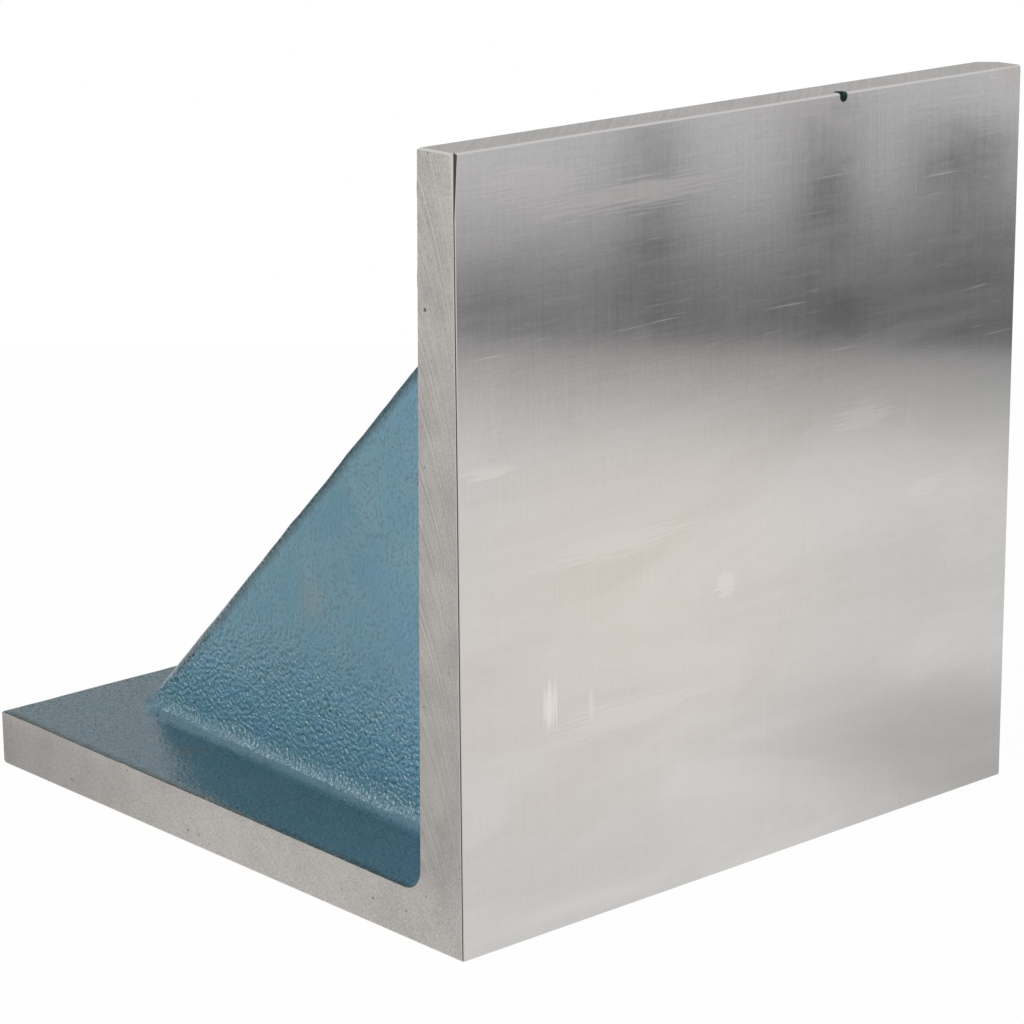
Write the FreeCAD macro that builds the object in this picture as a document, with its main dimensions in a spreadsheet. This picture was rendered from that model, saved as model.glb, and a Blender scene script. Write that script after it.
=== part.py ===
import FreeCAD, Part
import Sketcher
import math
import os

from FreeCAD import Placement, Rotation, Vector

# A webbed angle plate: one grey iron casting, two plates at a right angle tied by two triangular webs.
# The outside and the sides are machined, the inside is left as cast.
# X runs across the plate, Z up. The work face looks along -Y and the foot reaches out along +Y.
# The origin is the middle of the footprint, on the surface that the plate stands on.

# ---------------------------------------------------------------- driving sizes, in mm and degrees
SIZES = {
    # the machined envelope
    "width": (203.2, "across the work face, side to side"),
    "depth": (203.2, "work face to the free end of the foot"),
    "height": (203.2, "underside of the foot to the top of the wall"),
    # the two plates: the cast insides taper against the machined outsides
    "wall_top": (13.1, "wall thickness at its top edge"),
    "wall_root": (16.0, "wall thickness at the inner corner"),
    "foot_tip": (15.8, "foot thickness at its free end"),
    "foot_root": (13.8, "foot thickness at the inner corner"),
    # the webs
    "web_thickness": (12.7, "web thickness along its sloping edge"),
    "web_inset": (34.5, "side face to the outer face of the web, along the sloping edge"),
    "web_toe_gap": (22.6, "free end of the foot to the toe of the web"),
    "web_top_gap": (23.8, "top edge of the wall to the upper end of the web"),
    "web_draft": (3.0, "draft on each side of the web, thicker towards the inner corner"),
    "slope_round": (3.0, "radius along the two edges of a web's sloping face"),
    "root_fillet": (6.4, "cast fillet where the plates and webs meet"),
    # broken edges
    "arris": (0.5, "chamfer on the machined edges"),
    "tip_round": (1.0, "radius where the cast inside meets the two machined ends"),
    "heel_chamfer": (1.6, "chamfer under the free end of the foot"),
    "filed_width": (1.3, "hand-filed bevel down one corner of the work face: its width at the top"),
    "filed_length": (24.0, "length over which that bevel runs out"),
    "eased_width": (5.6, "bevel on the wall's far inside corner: its width at the top"),
    "eased_length": (14.0, "length over which that bevel runs out"),
    # a gas hole left in the top edge of the work face
    "pit_radius": (1.8, "radius of the gas hole"),
    "pit_inset": (70.2, "side face to its middle"),
    "pit_drop": (1.0, "top of the wall to its middle"),
    "pit_reach": (1.3, "work face to its middle"),
}

NEAR = 0.01        # how close a point must lie to a plane to count as on it
LEANING = 0.2      # how far a slope's normal leans from each plate, well past their own taper
ORIGIN = (-1, 1)   # a sketch's own origin, as its constraints name it


def size(name):
    return SIZES[name][0]


def make_size_sheet(doc):
    sheet = doc.addObject("Spreadsheet::Sheet", "sizes")
    for row, (name, (number, meaning)) in enumerate(SIZES.items(), start=1):
        sheet.set(f"A{row}", name)
        sheet.set(f"B{row}", str(number))
        sheet.set(f"C{row}", meaning)
        sheet.setAlias(f"B{row}", name)
    doc.recompute()


# ---------------------------------------------------------------- small helpers for the body
def origin_plane(body, role):
    return next(feature for feature in body.Origin.OriginFeatures if feature.Role == role)


def sketch_on(body, role, name):
    sketch = body.newObject("Sketcher::SketchObject", name)
    sketch.AttachmentSupport = (origin_plane(body, role), [""])
    sketch.MapMode = "FlatFace"
    return sketch


def closed_outline(sketch, corners):
    """Straight edges through the corners; edge i starts at corner i."""
    vectors = [Vector(across, up, 0) for across, up in corners]
    for start, end in zip(vectors, vectors[1:] + vectors[:1]):
        sketch.addGeometry(Part.LineSegment(start, end))
    for edge in range(len(vectors)):
        sketch.addConstraint(Sketcher.Constraint("Coincident", edge, 2, (edge + 1) % len(vectors), 1))


def dimension(sketch, name, kind, start, end, formula):
    """A named distance between two points, each given as (edge, end), driven by the sheet."""
    gap = sketch.getPoint(*end) - sketch.getPoint(*start)
    drawn = gap.x if kind == "DistanceX" else gap.y
    index = sketch.addConstraint(Sketcher.Constraint(kind, *start, *end, drawn))
    sketch.renameConstraint(index, name)
    sketch.setExpression(f"Constraints.{name}", formula)


def edges_where(shape, wanted):
    return [f"Edge{number}" for number, edge in enumerate(shape.Edges, start=1) if wanted(edge)]


def faces_where(shape, wanted):
    return [f"Face{number}" for number, face in enumerate(shape.Faces, start=1) if wanted(face)]


def lies_on(edge, axis, place):
    return all(abs(getattr(vertex.Point, axis) - place) < NEAR for vertex in edge.Vertexes)


def is_sloping(edge):
    """True for an edge that runs down a web's slope, from the wall to the foot."""
    start, end = edge.Vertexes[0].Point, edge.Vertexes[-1].Point
    return min(abs(start.y - end.y), abs(start.z - end.z)) > size("root_fillet")


# ---------------------------------------------------------------- the casting
def add_plates(body):
    """The two plates: a square block, machined all round, less the inside, which tapers as cast."""
    half_width, half_depth, height = size("width") / 2, size("depth") / 2, size("height")
    wall_top, wall_root = size("wall_top"), size("wall_root")
    foot_tip, foot_root = size("foot_tip"), size("foot_root")

    footprint = sketch_on(body, "XY_Plane", "footprint")
    closed_outline(footprint, [
        (-half_width, -half_depth), (half_width, -half_depth),
        (half_width, half_depth), (-half_width, half_depth),
    ])
    front, right, back, left = range(4)
    for edge in (front, back):
        footprint.addConstraint(Sketcher.Constraint("Horizontal", edge))
    for edge in (right, left):
        footprint.addConstraint(Sketcher.Constraint("Vertical", edge))
    dimension(footprint, "half_width", "DistanceX", (front, 1), ORIGIN, "sizes.width / 2")
    dimension(footprint, "half_depth", "DistanceY", (front, 1), ORIGIN, "sizes.depth / 2")
    dimension(footprint, "width", "DistanceX", (front, 1), (front, 2), "sizes.width")
    dimension(footprint, "depth", "DistanceY", (right, 1), (right, 2), "sizes.depth")
    block = body.newObject("PartDesign::Pad", "machined_block")
    block.Profile = footprint
    block.setExpression("Length", "sizes.height")

    inside = sketch_on(body, "YZ_Plane", "cast_inside")
    closed_outline(inside, [
        (wall_root - half_depth, foot_root), (half_depth, foot_tip),
        (half_depth, height), (wall_top - half_depth, height),
    ])
    foot_face, far_side, upper_side, wall_face = range(4)
    inside.addConstraint(Sketcher.Constraint("Vertical", far_side))
    inside.addConstraint(Sketcher.Constraint("Horizontal", upper_side))
    dimension(inside, "wall_root", "DistanceX", (foot_face, 1), ORIGIN, "sizes.depth / 2 - sizes.wall_root")
    dimension(inside, "foot_root", "DistanceY", ORIGIN, (foot_face, 1), "sizes.foot_root")
    dimension(inside, "foot_end", "DistanceX", ORIGIN, (far_side, 1), "sizes.depth / 2")
    dimension(inside, "foot_tip", "DistanceY", ORIGIN, (far_side, 1), "sizes.foot_tip")
    dimension(inside, "top", "DistanceY", ORIGIN, (far_side, 2), "sizes.height")
    dimension(inside, "wall_top", "DistanceX", (wall_face, 1), ORIGIN, "sizes.depth / 2 - sizes.wall_top")
    plates = body.newObject("PartDesign::Pocket", "plates")
    plates.Profile = inside
    plates.Type = "ThroughAll"
    plates.SideType = "Symmetric"
    body.Document.recompute()
    return plates


def add_web(body):
    """The left web: a triangle rooted inside both plates, its slope set by the two ends of it."""
    half_depth, height = size("depth") / 2, size("height")
    wall_top, foot_tip, foot_root = size("wall_top"), size("foot_tip"), size("foot_root")
    toe = (half_depth - size("web_toe_gap"), foot_tip)
    upper = (wall_top - half_depth, height - size("web_top_gap"))
    root = (wall_top / 2 - half_depth, foot_root / 2)

    triangle = sketch_on(body, "YZ_Plane", "web_outline")
    triangle.setExpression(".AttachmentOffset.Base.z", "sizes.web_inset - sizes.width / 2")
    closed_outline(triangle, [root, (toe[0], root[1]), (root[0], upper[1])])
    foot_edge, slope, wall_edge = range(3)
    toe_mark = triangle.addGeometry(Part.Point(Vector(*toe, 0)), True)
    upper_mark = triangle.addGeometry(Part.Point(Vector(*upper, 0)), True)
    triangle.addConstraint(Sketcher.Constraint("Horizontal", foot_edge))
    triangle.addConstraint(Sketcher.Constraint("Vertical", wall_edge))
    for mark in (toe_mark, upper_mark):
        triangle.addConstraint(Sketcher.Constraint("PointOnObject", mark, 1, slope))
    heel = (foot_edge, 1)
    dimension(triangle, "root_back", "DistanceX", heel, ORIGIN, "(sizes.depth - sizes.wall_top) / 2")
    dimension(triangle, "root_up", "DistanceY", ORIGIN, heel, "sizes.foot_root / 2")
    dimension(triangle, "toe_out", "DistanceX", ORIGIN, (toe_mark, 1), "sizes.depth / 2 - sizes.web_toe_gap")
    dimension(triangle, "toe_up", "DistanceY", ORIGIN, (toe_mark, 1), "sizes.foot_tip")
    dimension(triangle, "upper_back", "DistanceX", (upper_mark, 1), ORIGIN,
              "sizes.depth / 2 - sizes.wall_top")
    dimension(triangle, "upper_up", "DistanceY", ORIGIN, (upper_mark, 1), "sizes.height - sizes.web_top_gap")
    web = body.newObject("PartDesign::Pad", "web")
    web.Profile = triangle
    web.setExpression("Length", "sizes.web_thickness")
    body.Document.recompute()
    return web


def draft_web(body, web):
    """Both sides of the web lean out from its sloping face, so that it leaves the sand cleanly."""
    side_face = size("width") / 2 - NEAR
    sides = faces_where(web.Shape, lambda face: abs(face.normalAt(0, 0).x) > 1 - NEAR
                        and abs(face.CenterOfMass.x) < side_face)
    slope = faces_where(web.Shape, lambda face: min(face.normalAt(0, 0).y, face.normalAt(0, 0).z) > LEANING)
    draft = body.newObject("PartDesign::Draft", "web_draft")
    draft.Base = (web, sides)
    draft.NeutralPlane = (web, slope)
    draft.Reversed = True
    draft.setExpression("Angle", "sizes.web_draft")
    body.Document.recompute()
    return draft


def mirror_web(body):
    both = body.newObject("PartDesign::Mirrored", "both_webs")
    both.MirrorPlane = (origin_plane(body, "YZ_Plane"), [""])
    both.TransformMode = "Whole shape"
    body.Tip = both
    body.Document.recompute()
    return both


def dress(body, kind, name, base, wanted, size_property, formula):
    """A Fillet or Chamfer on the edges of the last shape that answer to wanted."""
    feature = body.newObject(kind, name)
    feature.Base = (base, edges_where(base.Shape, wanted))
    feature.setExpression(size_property, formula)
    body.Document.recompute()
    return feature


def round_castings(body, webs):
    """Rounded slope edges first, then one fillet round the foot of each web and along the inner corner."""
    half_width, half_depth, height = size("width") / 2, size("depth") / 2, size("height")

    def is_machined(edge):
        planes = (("x", half_width), ("x", -half_width), ("y", half_depth), ("y", -half_depth),
                  ("z", 0), ("z", height))
        return any(lies_on(edge, axis, place) for axis, place in planes)

    slopes = dress(body, "PartDesign::Fillet", "slope_rounds", webs, is_sloping,
                   "Radius", "sizes.slope_round")
    return dress(body, "PartDesign::Fillet", "root_fillets", slopes,
                 lambda edge: not is_machined(edge) and not is_sloping(edge),
                 "Radius", "sizes.root_fillet")


def break_edges(body, casting):
    """The sharp machined edges are broken: a bevel under the foot, small chamfers, two rounded tips."""
    half_width, half_depth, height = size("width") / 2, size("depth") / 2, size("height")
    foot_tip, wall_top = size("foot_tip"), size("wall_top")

    def is_arris(edge):
        on_side = lies_on(edge, "x", half_width) or lies_on(edge, "x", -half_width)
        machined_ends = (lies_on(edge, "z", 0), lies_on(edge, "z", height), lies_on(edge, "y", half_depth))
        return lies_on(edge, "y", -half_depth) or (on_side and any(machined_ends))

    def is_tip(edge):
        foot_end = lies_on(edge, "y", half_depth) and lies_on(edge, "z", foot_tip)
        wall_end = lies_on(edge, "z", height) and lies_on(edge, "y", wall_top - half_depth)
        return foot_end or wall_end

    heel = dress(body, "PartDesign::Chamfer", "heel_bevel", casting,
                 lambda edge: lies_on(edge, "y", half_depth) and lies_on(edge, "z", 0),
                 "Size", "sizes.heel_chamfer")
    arrises = dress(body, "PartDesign::Chamfer", "arrises", heel, is_arris, "Size", "sizes.arris")
    return dress(body, "PartDesign::Fillet", "tip_rounds", arrises, is_tip, "Radius", "sizes.tip_round")


def file_corner(body, name, across, forward, heading):
    """An upright corner of the wall, bevelled by hand: wide at the top, running out further down.

    across and forward place the corner; heading, in degrees from +X, points from it into the casting.
    """
    height, length = size("height"), size(f"{name}_length")
    deep = size(f"{name}_width") / math.sqrt(2)

    # the sketch stands upright through the corner, halfway between the two faces that meet there
    bevel = sketch_on(body, "XZ_Plane", f"{name}_outline")
    bevel.AttachmentOffset = Placement(Vector(), Rotation(Vector(0, 1, 0), heading))
    bevel.setExpression(".AttachmentOffset.Base.x", across)
    bevel.setExpression(".AttachmentOffset.Base.z", forward)
    closed_outline(bevel, [(0, height - length), (deep, height), (0, height)])
    slant, top, corner = range(3)
    bevel.addConstraint(Sketcher.Constraint("Horizontal", top))
    bevel.addConstraint(Sketcher.Constraint("Vertical", corner))
    bevel.addConstraint(Sketcher.Constraint("PointOnObject", slant, 1, -2))
    dimension(bevel, "top", "DistanceY", ORIGIN, (corner, 1), "sizes.height")
    dimension(bevel, "runs_out", "DistanceY", (corner, 2), (corner, 1), f"sizes.{name}_length")
    dimension(bevel, "deep", "DistanceX", (top, 2), (top, 1), f"sizes.{name}_width / sqrt(2)")
    cut = body.newObject("PartDesign::Pocket", f"{name}_corner")
    cut.Profile = bevel
    cut.SideType = "Symmetric"
    cut.setExpression("Length", f"4 * sizes.{name}_width")
    body.Document.recompute()
    return cut


def leave_gas_hole(body):
    """A small round gas hole that the casting kept, cut open where the work face meets the top."""
    hole = body.newObject("PartDesign::SubtractiveSphere", "gas_hole")
    hole.AttachmentSupport = (origin_plane(body, "XZ_Plane"), [""])
    hole.MapMode = "FlatFace"
    hole.setExpression(".AttachmentOffset.Base.x", "sizes.width / 2 - sizes.pit_inset")
    hole.setExpression(".AttachmentOffset.Base.y", "sizes.height - sizes.pit_drop")
    hole.setExpression(".AttachmentOffset.Base.z", "sizes.depth / 2 - sizes.pit_reach")
    hole.setExpression("Radius", "sizes.pit_radius")
    body.Document.recompute()
    return hole


# ---------------------------------------------------------------- build, check, write
def check(doc, bodies):
    for item in doc.Objects:
        if "Invalid" in item.State or "Error" in item.State:
            raise RuntimeError(f"{item.Label} failed: {item.State}")
    for body in bodies:
        if body.Shape.isNull() or not body.Shape.isValid():
            raise RuntimeError(f"{body.Label} has no valid shape")


def main():
    doc = FreeCAD.newDocument("angle_plate")
    make_size_sheet(doc)
    body = doc.addObject("PartDesign::Body", "angle_plate")
    body.Label = "angle_plate"

    add_plates(body)
    web = add_web(body)
    draft_web(body, web)
    webs = mirror_web(body)
    casting = round_castings(body, webs)
    break_edges(body, casting)
    file_corner(body, "filed", "-sizes.width / 2", "sizes.depth / 2", 45)
    file_corner(body, "eased", "sizes.width / 2", "sizes.depth / 2 - sizes.wall_top", 225)
    leave_gas_hole(body)
    doc.recompute()
    check(doc, [body])

    os.makedirs("parts", exist_ok=True)
    body.Shape.exportStep(f"parts/{body.Label}.step")
    box = body.Shape.BoundBox
    print(f"{body.Label}: {body.Shape.Volume / 1000:.1f} cm3, {len(body.Shape.Faces)} faces, "
          f"{box.XLength:.1f} wide, {box.YLength:.1f} deep")


main()
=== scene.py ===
# %% [markdown]
# # A webbed angle plate
# An angle plate is one grey iron casting: a wall and a foot at a right angle, tied by two triangular webs.
# A workshop grinds its work face and base, mills its sides and ends, and leaves the inside as it was cast.
# That inside is painted, so the finished thing has two surfaces: bare bright iron and thick teal enamel.
# This notebook keeps the machined casting as the CAD model gives it, finishes its iron, and adds the coat
# of paint as a piece of its own, because a real coat has a thickness, lumps and an edge that can be seen.

# %% Load the fixed frame
import math

import bpy
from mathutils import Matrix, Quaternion, Vector, noise


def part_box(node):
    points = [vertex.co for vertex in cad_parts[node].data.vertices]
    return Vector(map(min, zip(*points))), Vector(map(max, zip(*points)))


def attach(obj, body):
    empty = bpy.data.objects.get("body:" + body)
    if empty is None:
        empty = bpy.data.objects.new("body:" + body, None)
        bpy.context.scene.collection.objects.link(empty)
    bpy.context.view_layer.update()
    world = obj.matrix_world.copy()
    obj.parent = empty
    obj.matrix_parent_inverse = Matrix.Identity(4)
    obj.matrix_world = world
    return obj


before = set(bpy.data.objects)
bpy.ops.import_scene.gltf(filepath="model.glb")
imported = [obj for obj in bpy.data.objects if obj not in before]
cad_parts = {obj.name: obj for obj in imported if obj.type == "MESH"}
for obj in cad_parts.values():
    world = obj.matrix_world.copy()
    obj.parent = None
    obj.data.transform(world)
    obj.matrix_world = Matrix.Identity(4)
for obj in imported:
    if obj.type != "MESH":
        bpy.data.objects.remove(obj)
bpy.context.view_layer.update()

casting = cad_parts["angle_plate"]
lowest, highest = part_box("angle_plate")
HALF_WIDTH, HALF_DEPTH, HEIGHT = highest.x, highest.y, highest.z
MM = 0.001
print(f"casting: {HALF_WIDTH * 2 / MM:.1f} mm wide, {HALF_DEPTH * 2 / MM:.1f} mm deep, {HEIGHT / MM:.1f} mm high")


# %% [markdown]
# Colours are written as they look on a screen, in sRGB hex. Blender calculates with linear light, so one
# function turns each hex value into a linear colour. A second small function adds a node to a material,
# sets what it is told to and links what it is given, so that a material reads from top to bottom.

# %% Helpers for colours, nodes and selections
def linear(hex_colour):
    channels = [int(hex_colour[start:start + 2], 16) / 255 for start in (1, 3, 5)]
    return tuple(c / 12.92 if c <= 0.04045 else ((c + 0.055) / 1.055) ** 2.4 for c in channels) + (1.0,)


def add_node(tree, kind, inputs=None, **settings):
    """Adds one node. An input that is given a node or a socket is linked to it, any other is set."""
    node = tree.nodes.new(kind)
    for name, value in settings.items():
        setattr(node, name, value)
    for name, value in (inputs or {}).items():
        if isinstance(value, bpy.types.Node):
            value = next(socket for socket in value.outputs if socket.enabled)
        if isinstance(value, bpy.types.NodeSocket):
            tree.links.new(value, node.inputs[name])
        else:
            node.inputs[name].default_value = value
    return node


def new_material(name):
    material = bpy.data.materials.new(name)
    material.use_nodes = True
    material.node_tree.nodes.clear()
    return material, material.node_tree


def select_only(*objects):
    bpy.ops.object.select_all(action="DESELECT")
    for item in objects:
        item.select_set(True)
    bpy.context.view_layer.objects.active = objects[0]


# %% [markdown]
# The camera stands low and to the left, so that the work face and the painted inside are both in view.
# It is placed by its own position, the way it looks and a long lens, which keeps the uprights upright.

# %% Camera
CAMERA_PLACE = Vector((-0.6335, -0.7191, 0.3426))
CAMERA_HEADING = 41.66      # degrees from +Y towards +X
CAMERA_DIP = 15.514         # degrees below the horizon
CAMERA_ROLL = -0.456        # degrees: it is not held quite level
heading, dip = math.radians(CAMERA_HEADING), math.radians(CAMERA_DIP)
sight = Vector((math.sin(heading) * math.cos(dip), math.cos(heading) * math.cos(dip), -math.sin(dip)))
turn = sight.to_track_quat("-Z", "Y") @ Quaternion((0, 0, 1), math.radians(CAMERA_ROLL))
bpy.ops.object.camera_add(location=CAMERA_PLACE, rotation=turn.to_euler())
camera = bpy.context.object
camera.name = "camera"
camera.data.lens = 123.94
camera.data.sensor_width = 36
bpy.context.scene.camera = camera
print(f"camera: {CAMERA_PLACE.length * 1000:.0f} mm from the middle of the footprint")


# %% [markdown]
# Bare metal has no colour of its own to speak of: it shows the room. So the studio is made first, and made
# like a real one: a white table, whose edge lies well to the right, and a darker floor further down. The
# table is white to the eye, and its own material still takes the plate's shadow, which the iron mirrors.
# Towards its edge the table gets less light, so the edge is soft in the iron.

# %% The table
CAMERA_SIDE = Vector((math.cos(heading), -math.sin(heading), 0))     # to the camera's right
CAMERA_FORWARD = Vector((math.sin(heading), math.cos(heading), 0))
TABLE_RIGHT, TABLE_LEFT, TABLE_FRONT, TABLE_BACK = 0.69, 2.0, 2.0, 0.55
TABLE_HEIGHT = 0.75


def add_table():
    bpy.ops.object.select_all(action="DESELECT")
    middle = (CAMERA_SIDE * (TABLE_RIGHT - TABLE_LEFT) + CAMERA_FORWARD * (TABLE_BACK - TABLE_FRONT)) / 2
    bpy.ops.mesh.primitive_plane_add(size=1, location=(middle.x, middle.y, -0.0002), rotation=(0, 0, -heading))
    table = bpy.context.object
    table.scale = (TABLE_RIGHT + TABLE_LEFT, TABLE_BACK + TABLE_FRONT, 1)
    bpy.ops.object.transform_apply(location=True, rotation=True, scale=True)
    table.name = "table_top"
    material, tree = new_material("white laminate")
    place = add_node(tree, "ShaderNodeTexCoord").outputs["Object"]
    aside = add_node(tree, "ShaderNodeVectorMath", {0: place, 1: CAMERA_SIDE}, operation="DOT_PRODUCT")
    falling = add_node(tree, "ShaderNodeMapRange", {"Value": aside.outputs["Value"], "From Min": 0.40,
                                                    "From Max": 0.80, "To Min": 1.0, "To Max": 0.36},
                       interpolation_type="SMOOTHSTEP")
    # painted shadow: the table is painted darker in a patch before the plate's right corner, as the plate's
    # shadow there
    painted_table_shadow = add_node(tree, "ShaderNodeVectorMath", {0: place, 1: (0.125, -0.115, 0)}, operation="DISTANCE")
    painted_table_shadow = add_node(tree, "ShaderNodeMapRange", {"Value": painted_table_shadow.outputs["Value"], "From Min": 0.02,
                                                  "From Max": 0.10, "To Min": 0.70, "To Max": 1.0},
                     interpolation_type="SMOOTHSTEP")
    falling = add_node(tree, "ShaderNodeMath", {0: falling, 1: painted_table_shadow}, operation="MULTIPLY")
    ray = add_node(tree, "ShaderNodeLightPath").outputs
    seen = add_node(tree, "ShaderNodeMath", {0: ray["Is Camera Ray"], 1: 0.98}, operation="MULTIPLY")
    mirrored = add_node(tree, "ShaderNodeMath", {0: ray["Is Glossy Ray"], 1: ray["Is Transmission Ray"]},
                        operation="MAXIMUM")
    share = add_node(tree, "ShaderNodeMath", {0: mirrored, 1: 0.86, 2: seen}, operation="MULTIPLY_ADD")
    shade = add_node(tree, "ShaderNodeMix", {0: mirrored, 2: 1.0, 3: falling}, data_type="FLOAT")
    paper = add_node(tree, "ShaderNodeMix", {0: shade, 6: (0, 0, 0, 1), 7: linear("#eeeeee")}, data_type="RGBA")
    laminate = add_node(tree, "ShaderNodeBsdfDiffuse", {"Color": paper})
    white = add_node(tree, "ShaderNodeEmission", {"Color": (1, 1, 1, 1), "Strength": shade})
    mixed = add_node(tree, "ShaderNodeMixShader", {0: share, 1: laminate, 2: white})
    add_node(tree, "ShaderNodeOutputMaterial", {"Surface": mixed})
    table.data.materials.append(material)
    return table


table = add_table()
print(f"table: {TABLE_RIGHT + TABLE_LEFT:.2f} m wide, its right edge {TABLE_RIGHT:.2f} m from the plate")


# %% [markdown]
# Beyond the table's edge the iron sees the studio floor, dark near the table and paler further off, and
# some upright gear that stands there. Behind the plate hangs a grey cloth, dark in its lower part. None of
# this is in the picture itself: it is hidden from the camera, and gives the iron and the gloss their shapes.

# %% What the iron mirrors
def add_studio_floor():
    """Dark near the table and paler further off, on the left sooner than on the right."""
    bpy.ops.object.select_all(action="DESELECT")
    bpy.ops.mesh.primitive_circle_add(vertices=64, radius=9, fill_type="NGON", location=(0, 0, -TABLE_HEIGHT))
    ground = bpy.context.object
    ground.name = "studio_floor"
    material, tree = new_material("painted studio floor")
    place = add_node(tree, "ShaderNodeTexCoord").outputs["Object"]
    away = add_node(tree, "ShaderNodeVectorMath", {0: place}, operation="LENGTH").outputs["Value"]
    aside = add_node(tree, "ShaderNodeVectorMath", {0: place, 1: (1, 1, 0)}, operation="DOT_PRODUCT")
    reach = add_node(tree, "ShaderNodeMath", {0: aside.outputs["Value"], 1: -0.25, 2: away},
                     operation="MULTIPLY_ADD")
    shade = add_node(tree, "ShaderNodeMapRange", {"Value": reach, "From Min": 4.1, "From Max": 5.6,
                                                  "To Min": 0.22, "To Max": 0.77},
                     interpolation_type="SMOOTHSTEP")
    glow = add_node(tree, "ShaderNodeEmission", {"Color": linear("#fbfbff"), "Strength": shade})
    add_node(tree, "ShaderNodeOutputMaterial", {"Surface": glow})
    ground.data.materials.append(material)
    return ground


def add_stand(name, azimuth, width, top, strength):
    """An upright of studio gear on the floor beyond the table, 3 m from the work face."""
    turned = math.radians(azimuth)
    bpy.ops.object.select_all(action="DESELECT")
    bpy.ops.mesh.primitive_cylinder_add(vertices=24, radius=width / 2, depth=TABLE_HEIGHT + top,
                                        location=(math.sin(turned) * 3, math.cos(turned) * 3 - HALF_DEPTH,
                                                  (top - TABLE_HEIGHT) / 2))
    stand = bpy.context.object
    stand.name = name
    material, tree = new_material("grey lacquered stand")
    glow = add_node(tree, "ShaderNodeEmission", {"Color": linear("#fbfbff"), "Strength": strength})
    add_node(tree, "ShaderNodeOutputMaterial", {"Surface": glow})
    stand.data.materials.append(material)
    return stand


def add_back_cloth():
    """A cloth 2 m behind the plate, square to the camera's heading: pale grey, dark in its lower part."""
    place = CAMERA_FORWARD * 2 - CAMERA_SIDE * 1.5 + Vector((0, 0, 0.45))
    bpy.ops.object.select_all(action="DESELECT")
    bpy.ops.mesh.primitive_plane_add(size=1, location=place, rotation=(math.pi / 2, 0, -heading))
    cloth = bpy.context.object
    cloth.scale = (5.4, 2.4, 1)
    bpy.ops.object.transform_apply(location=True, rotation=True, scale=True)
    cloth.name = "back_cloth"
    material, tree = new_material("grey back cloth")
    at = add_node(tree, "ShaderNodeSeparateXYZ", {0: add_node(tree, "ShaderNodeTexCoord").outputs["Object"]})
    shade = add_node(tree, "ShaderNodeMapRange", {"Value": at.outputs[2], "From Min": 0.12, "From Max": 0.42,
                                                  "To Min": 0.10, "To Max": 0.84})
    glow = add_node(tree, "ShaderNodeEmission", {"Color": (1, 1, 1, 1), "Strength": shade})
    add_node(tree, "ShaderNodeOutputMaterial", {"Surface": glow})
    cloth.data.materials.append(material)
    return cloth


mirrored_things = [add_studio_floor(), add_back_cloth(),
                   add_stand("left_stand", 136.55, 0.044, -0.28, 0.12),
                   add_stand("middle_stand", 132.85, 0.050, -0.25, 0.11),
                   add_stand("right_stand", 129.9, 0.100, -0.29, 0.20)]
for item in mirrored_things:
    item.visible_camera = item.visible_shadow = item.visible_diffuse = False
print(f"mirrored only: {', '.join(item.name for item in mirrored_things)}")


# %% [markdown]
# The room is white to the eye, in reflections and through glass, and dimmer as a source of light, so that
# a colour comes out as it is written. A large soft box lights the plate from its left, and brightens the web
# more than the foot. A small weak one stands behind on the left, and glints in the round at the web's root.

# %% The room and its lamp
world = bpy.data.worlds.new("studio")
bpy.context.scene.world = world
world.use_nodes = True
tree = world.node_tree
tree.nodes.clear()
ray = add_node(tree, "ShaderNodeLightPath").outputs
mirrored = add_node(tree, "ShaderNodeMath", {0: ray["Is Glossy Ray"], 1: ray["Is Transmission Ray"]},
                    operation="MAXIMUM")
shown = add_node(tree, "ShaderNodeMath", {0: ray["Is Camera Ray"], 1: mirrored}, operation="MAXIMUM")
strength = add_node(tree, "ShaderNodeMapRange", {"Value": shown, "To Min": 0.32, "To Max": 1.0})
sky = add_node(tree, "ShaderNodeBackground", {"Color": (1, 1, 1, 1), "Strength": strength})
add_node(tree, "ShaderNodeOutputWorld", {"Surface": sky})


def add_soft_box(name, azimuth, elevation, distance, width, height, power):
    """A rectangular lamp that faces the plate; azimuth in degrees from +Y towards +X."""
    turned, raised = math.radians(azimuth), math.radians(elevation)
    towards = Vector((math.sin(turned) * math.cos(raised), math.cos(turned) * math.cos(raised),
                      math.sin(raised)))
    place = towards * distance + Vector((0, 0, HEIGHT / 2))
    bpy.ops.object.light_add(type="AREA", location=place, rotation=towards.to_track_quat("Z", "Y").to_euler())
    lamp = bpy.context.object
    lamp.name = name
    lamp.data.shape = "RECTANGLE"
    lamp.data.size, lamp.data.size_y = width, height
    lamp.data.energy = power
    return lamp


add_soft_box("main_soft_box", -74, 17, 1.6, 1.2, 0.8, 19.8)
add_soft_box("back_soft_box", -33, 24, 1.6, 0.45, 0.24, 2.0)
bpy.context.scene.view_settings.view_transform = "Standard"
print(f"room: {len(bpy.data.lights)} soft boxes")


# %% [markdown]
# Grey cast iron is bare on every machined face. The work face and the base are surface ground: the wheel left
# fine straight lines, and the metal mirrors the room softly. Years of wiping and handling lie over them, as
# level strokes, pale patches and a few scratches. Each of these is noise, stretched along its own direction.

# %% The ground finish
# pale smears of old polish on the work face: middle in x and z, half length, half height, all in mm
SMEARS = ((-40, 186, 44, 5, 0.50), (-75, 193, 24, 6, 0.40), (-72, 60, 3.2, 8.5, 0.75), (-58, 57, 2.2, 5.5, 0.40),
          (-10, 79.5, 4.5, 4.5, 0.50), (-92, 124, 11, 2.5, 0.45), (-50, 98, 38, 5, 0.30), (67, 92, 10, 4, 0.35),
          (42, 116, 13, 7, 0.35), (-45, 53, 38, 6, 0.28))


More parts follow.
